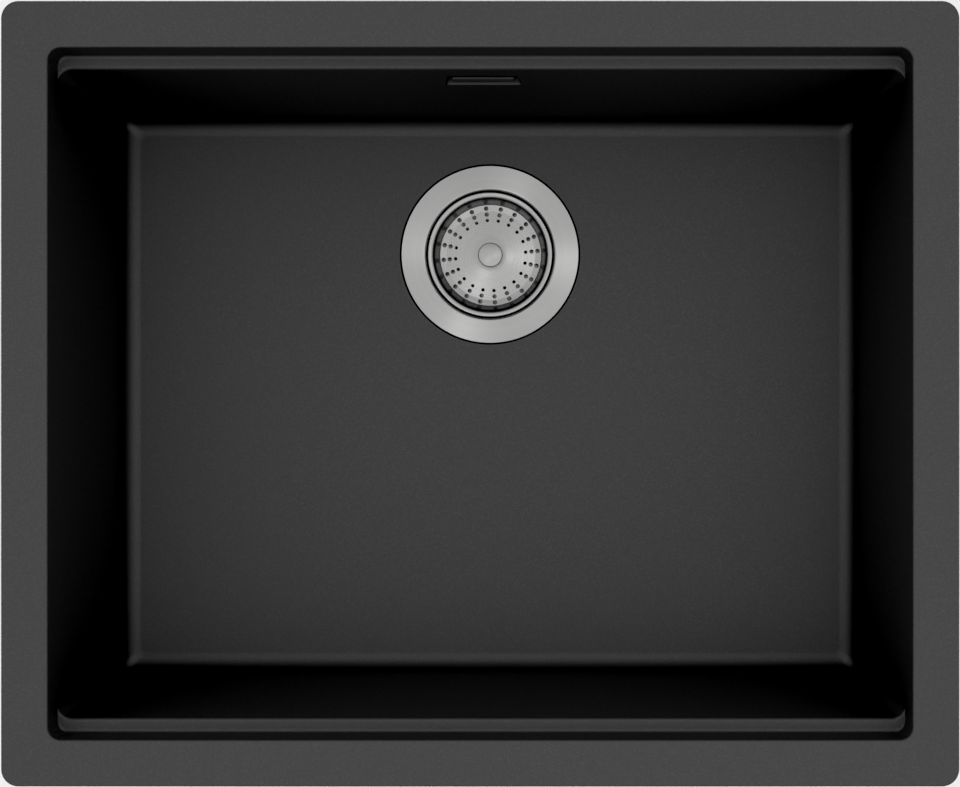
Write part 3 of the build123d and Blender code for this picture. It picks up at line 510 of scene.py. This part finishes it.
def moulded_material(name, colour, size, relief, roughness, rubbed=0.25, shine=0.5):
    """Moulded plastic or rubber: spark texture, flow marks, rubbed edges and a range of roughness."""
    material, tree, shader, place = new_material(name)
    link = tree.links.new
    skin = effect(tree, "Moulded skin", place, Size=size)
    flow = skin.outputs["Flow"]
    edge = effect(tree, "Rubbed edge", Width=0.0008)
    pale = tuple(min(1.0, share * 1.35 + 0.004) for share in colour)
    worn = tuple(min(1.0, share * 1.9 + 0.012) for share in colour)
    face = mix_colour(tree, flow, colour, pale)
    wear = math_node(tree, "MULTIPLY", edge.outputs["Edge"], rubbed)
    link(mix_colour(tree, wear, face, worn), shader.inputs["Base Color"])
    link(spread(tree, flow, 0.0, 1.0, *roughness), shader.inputs["Roughness"])
    shader.inputs["Specular IOR Level"].default_value = shine
    bump(tree, shader, skin.outputs["Height"], relief)
    return material


def floor_material(colour):
    """Matt paint with faint roller marks."""
    material, tree, shader, place = new_material("Floor paint")
    skin = effect(tree, "Moulded skin", place, Size=0.004)
    paint = mix_colour(tree, skin.outputs["Flow"], shade(colour, 0.97), colour)
    tree.links.new(paint, shader.inputs["Base Color"])
    shader.inputs["Roughness"].default_value = 0.8
    return material


def dress(material, *names):
    """Puts a material on CAD nodes."""
    for name in names:
        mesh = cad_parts[name].data
        mesh.materials.clear()
        mesh.materials.append(material)


def join_rows(mesh, rows):
    """Joins each row of points to the next one with faces all round."""
    for low, high in zip(rows, rows[1:]):
        for side in range(len(low)):
            other = (side + 1) % len(low)
            mesh.faces.new((low[side], low[other], high[other], high[side]))


def scene_piece(name, mesh):
    """Turns a built mesh into an object fixed to the sink and returns it."""
    bmesh.ops.recalc_face_normals(mesh, faces=mesh.faces)
    data = bpy.data.meshes.new(name)
    mesh.to_mesh(data)
    mesh.free()
    piece = bpy.data.objects.new(name, data)
    bpy.context.scene.collection.objects.link(piece)
    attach(piece, "sink")
    return piece


def seal_bead():
    """Low rounded bead of black rubber that fills the groove round the flange and darkens it."""
    inner = FLANGE_RADIUS + 0.00008
    width = 0.0011
    crown = 0.0002
    foot = SEAL_LOW.z + 0.00005
    shoulder = SEAL_HIGH.z - crown
    arc = 8
    profile = [(inner, foot)]
    for step in range(arc + 1):
        turn = math.pi * (1 - step / arc)
        profile.append((inner + width / 2 * (1 + math.cos(turn)), shoulder + crown * math.sin(turn)))
    profile.append((inner + width, foot))
    around = 192
    mesh = bmesh.new()
    rows = []
    for step in range(around):
        turn = 2 * math.pi * step / around
        rows.append([mesh.verts.new(round_drain(radius, turn, height)) for radius, height in profile])
    join_rows(mesh, rows + rows[:1])
    return scene_piece("seal_bead", mesh)


def outlet_thread(pitch, crest):
    """Ridge of the outlet thread: one winding strip with slanted flanks, run out flat at both ends."""
    around = 48
    steps = int(THREAD_LENGTH / pitch * around)
    root = -0.0002
    mesh = bmesh.new()
    rows = []
    for step in range(steps + 1):
        turn = 2 * math.pi * step / around
        rise = crest * min(1.0, step / around, (steps - step) / around)
        middle = OUTLET_END + THREAD_START + pitch * step / around
        profile = ((root, -0.42), (rise, -0.12), (rise, 0.12), (root, 0.42))
        row = []
        for out, shift in profile:
            row.append(mesh.verts.new(round_drain(OUTLET_RADIUS + out, turn, middle + shift * pitch)))
        rows.append(row)
    join_rows(mesh, rows)
    mesh.faces.new(rows[0])
    mesh.faces.new(rows[-1])
    return scene_piece("outlet_thread", mesh)


class SINK_OT_bowl(Operator):
    """Gives the bowl its black stone composite"""

    bl_idname = "sink.bowl"
    bl_label = "Bowl"

    def execute(self, context):
        dress(composite_material(settings(context).composite), "sink_bowl")
        return {"FINISHED"}


class SINK_OT_strainer(Operator):
    """Gives the strainer's cup and flange their round-brushed steel"""

    bl_idname = "sink.strainer"
    bl_label = "Strainer cup"

    def execute(self, context):
        values = settings(context).metal
        # Painted shade: the cup's steel is darker inside the cup, and dark in reflections even close
        # by.
        brushed = steel_material(
            "Brushed steel", values, roughness=values.brushed, line=values.line, turned=0.93,
            near=0.9, shade_below=CUP_HIGH.z - 0.002)
        dress(brushed, "strainer_cup")
        return {"FINISHED"}


class SINK_OT_basket(Operator):
    """Gives the basket, its knob and its stem their steel, and the sleeve its plastic"""

    bl_idname = "sink.basket"
    bl_label = "Basket"

    def execute(self, context):
        values = settings(context).metal
        pressed = steel_material(
            "Pressed steel", values, roughness=values.pressed, line=values.line, turned=0.4)
        dress(pressed, "strainer_basket")
        turned = steel_material(
            "Turned steel", values, roughness=values.pressed * 1.15, line=values.line * 0.6, turned=0.2)
        dress(turned, "basket_knob", "basket_stem")
        sleeve = moulded_material(
            "Sleeve plastic", settings(context).fittings.white, size=0.0004, relief=0.00001,
            roughness=(0.3, 0.4), rubbed=0.0)
        dress(sleeve, "stem_sleeve")
        return {"FINISHED"}


class SINK_OT_stopper(Operator):
    """Gives the stopper's carrier its plastic and every seal its rubber, and adds the rubber bead round
    the flange
    """

    bl_idname = "sink.stopper"
    bl_label = "Stopper and seals"

    def execute(self, context):
        values = settings(context).fittings
        carrier = moulded_material(
            "Carrier plastic", values.black, size=0.0005, relief=0.00002, roughness=(0.38, 0.5))
        dress(carrier, "stopper_carrier")
        rubber = moulded_material(
            "Rubber", values.rubber, size=0.0003, relief=0.00002, roughness=(0.62, 0.78),
            rubbed=0.1, shine=0.12)
        seal_bead().data.materials.append(rubber)
        dress(rubber, "stopper_seal", "flange_seal", "body_gasket", "screw_washer")
        dress(rubber, "overflow_gasket", "upper_pipe_seal", "lower_pipe_seal")
        return {"FINISHED"}


class SINK_OT_overflow(Operator):
    """Gives the overflow cover its matt plastic"""

    bl_idname = "sink.overflow"
    bl_label = "Overflow cover"

    def execute(self, context):
        values = settings(context).fittings
        cover = moulded_material(
            "Cover plastic", values.trim, size=0.0005, relief=0.00002, roughness=(0.45, 0.55))
        dress(cover, "overflow_cover")
        return {"FINISHED"}


class SINK_OT_plumbing(Operator):
    """Gives the waste body, collecting box, nuts and pipe their plastic, and the outlet its thread"""

    bl_idname = "sink.plumbing"
    bl_label = "Plumbing"

    def execute(self, context):
        values = settings(context).fittings
        black = moulded_material(
            "Black plastic", values.black, size=0.0005, relief=0.00003, roughness=(0.36, 0.5))
        dress(black, "waste_body", "overflow_head", "upper_pipe_nut", "lower_pipe_nut")
        outlet_thread(values.thread_pitch, values.thread_crest).data.materials.append(black)
        pipe = moulded_material(
            "Pipe plastic", values.grey, size=0.0008, relief=0.00001, roughness=(0.3, 0.42), rubbed=0.1)
        dress(pipe, "overflow_pipe")
        return {"FINISHED"}


class SINK_OT_fasteners(Operator):
    """Gives the screws their steel and the inserts and nut their brass"""

    bl_idname = "sink.fasteners"
    bl_label = "Fasteners"

    def execute(self, context):
        values = settings(context).metal
        screws = steel_material("Screw steel", values, roughness=0.3, line=0.0001, turned=0.0)
        dress(screws, "centre_screw", "overflow_screws")
        dress(brass_material(values), "rim_inserts", "overflow_inserts", "centre_nut")
        return {"FINISHED"}


def studio_floor(scene, colour):
    """Wide pale floor just under the outlet."""
    low = CAD_BOX[0][2] - FLOOR_GAP
    sides = ((-1, -1), (1, -1), (1, 1), (-1, 1))
    mesh = bpy.data.meshes.new("studio_floor")
    mesh.from_pydata([(FLOOR_HALF * x, FLOOR_HALF * y, low) for x, y in sides], [], [(0, 1, 2, 3)])
    mesh.materials.append(floor_material(colour))
    floor = bpy.data.objects.new("studio_floor", mesh)
    scene.collection.objects.link(floor)


def soft_sky(low, high):
    """World that is bright overhead and dim at the horizon."""
    world = bpy.data.worlds.new("Soft studio")
    world.use_nodes = True
    tree = world.node_tree
    background = next(n for n in tree.nodes if n.type == "BACKGROUND")
    place = put(tree, "ShaderNodeTexCoord")
    part = put(tree, "ShaderNodeSeparateXYZ")
    tree.links.new(place.outputs["Generated"], part.inputs[0])
    strength = spread(tree, part.outputs["Z"], 0.34, 0.8, low, high)
    tree.links.new(strength, background.inputs["Strength"])
    background.inputs["Color"].default_value = (1, 1, 1, 1)
    return world


def light_panel(scene, name, place, size, power):
    """Soft light that faces the drain and that the camera doesn't see."""
    data = bpy.data.lights.new(name, "AREA")
    data.shape = "RECTANGLE"
    data.size, data.size_y = size
    data.energy = power
    light = bpy.data.objects.new(name, data)
    light.location = place
    light.rotation_euler = (Vector(PANEL_TARGET) - Vector(place)).to_track_quat("-Z", "Y").to_euler()
    light.visible_camera = False
    scene.collection.objects.link(light)


def plain_tones(view, black):
    """Plain tones with a small black level."""
    view.view_transform = "Standard"
    view.use_curve_mapping = True
    view.curve_mapping.black_level = (black, black, black)
    view.curve_mapping.update()


def camera_above(scene, values):
    """Camera that looks straight down on the sink."""
    data = bpy.data.cameras.new("Camera above")
    data.sensor_width = 36.0
    data.lens = values.lens
    data.shift_x, data.shift_y = values.shift
    data.clip_end = 50.0
    camera = bpy.data.objects.new("Camera above", data)
    camera.location = values.camera
    scene.collection.objects.link(camera)
    scene.camera = camera


class SINK_OT_stage(Operator):
    """Sets the pale floor, the soft light and the camera straight above the sink"""

    bl_idname = "sink.stage"
    bl_label = "Stage"

    def execute(self, context):
        values = settings(context).stage
        scene = context.scene
        studio_floor(scene, values.floor)
        scene.world = soft_sky(values.horizon, values.zenith)
        plain_tones(scene.view_settings, values.black)
        right = round_drain(0.37, math.radians(11.0), PANEL_HEIGHT)
        light_panel(scene, "Panel right", right, (0.10, 0.46), values.panel)
        front = round_drain(0.37, math.radians(234.0), PANEL_HEIGHT)
        light_panel(scene, "Panel front", front, (0.10, 0.46), values.panel)
        knob = (DRAIN_X + 0.5, DRAIN_Y - 0.72, PANEL_HEIGHT)
        light_panel(scene, "Panel knob", knob, (0.35, 0.35), values.panel)
        camera_above(scene, values)
        return {"FINISHED"}


OPERATORS = (
    SINK_OT_bowl, SINK_OT_strainer, SINK_OT_basket, SINK_OT_stopper, SINK_OT_overflow,
    SINK_OT_plumbing, SINK_OT_fasteners, SINK_OT_stage,
)


class SINK_PT_looks(Panel):
    """Lists the sink's pieces and their values"""

    bl_idname = "SINK_PT_looks"
    bl_label = "Sink"
    bl_space_type = "VIEW_3D"
    bl_region_type = "UI"
    bl_category = "Sink"

    def draw(self, context):
        for step in OPERATORS:
            self.layout.operator(step.bl_idname)
        looks = settings(context)
        for group in (looks.composite, looks.metal, looks.fittings, looks.stage):
            box = self.layout.box()
            for name in group.__annotations__:
                box.prop(group, name)


CLASSES = (
    SINK_PG_composite, SINK_PG_metal, SINK_PG_fittings, SINK_PG_stage, SINK_PG_looks,
    *OPERATORS, SINK_PT_looks,
)


def register():
    for item in CLASSES:
        bpy.utils.register_class(item)
    bpy.types.Scene.sink_looks = PointerProperty(type=SINK_PG_looks)


def unregister():
    del bpy.types.Scene.sink_looks
    for item in reversed(CLASSES):
        bpy.utils.unregister_class(item)


def main():
    """Registers the add-on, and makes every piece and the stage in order."""
    register()
    bpy.ops.sink.bowl()
    bpy.ops.sink.strainer()
    bpy.ops.sink.basket()
    bpy.ops.sink.stopper()
    bpy.ops.sink.overflow()
    bpy.ops.sink.plumbing()
    bpy.ops.sink.fasteners()
    bpy.ops.sink.stage()


if __name__ == "__main__":
    main()
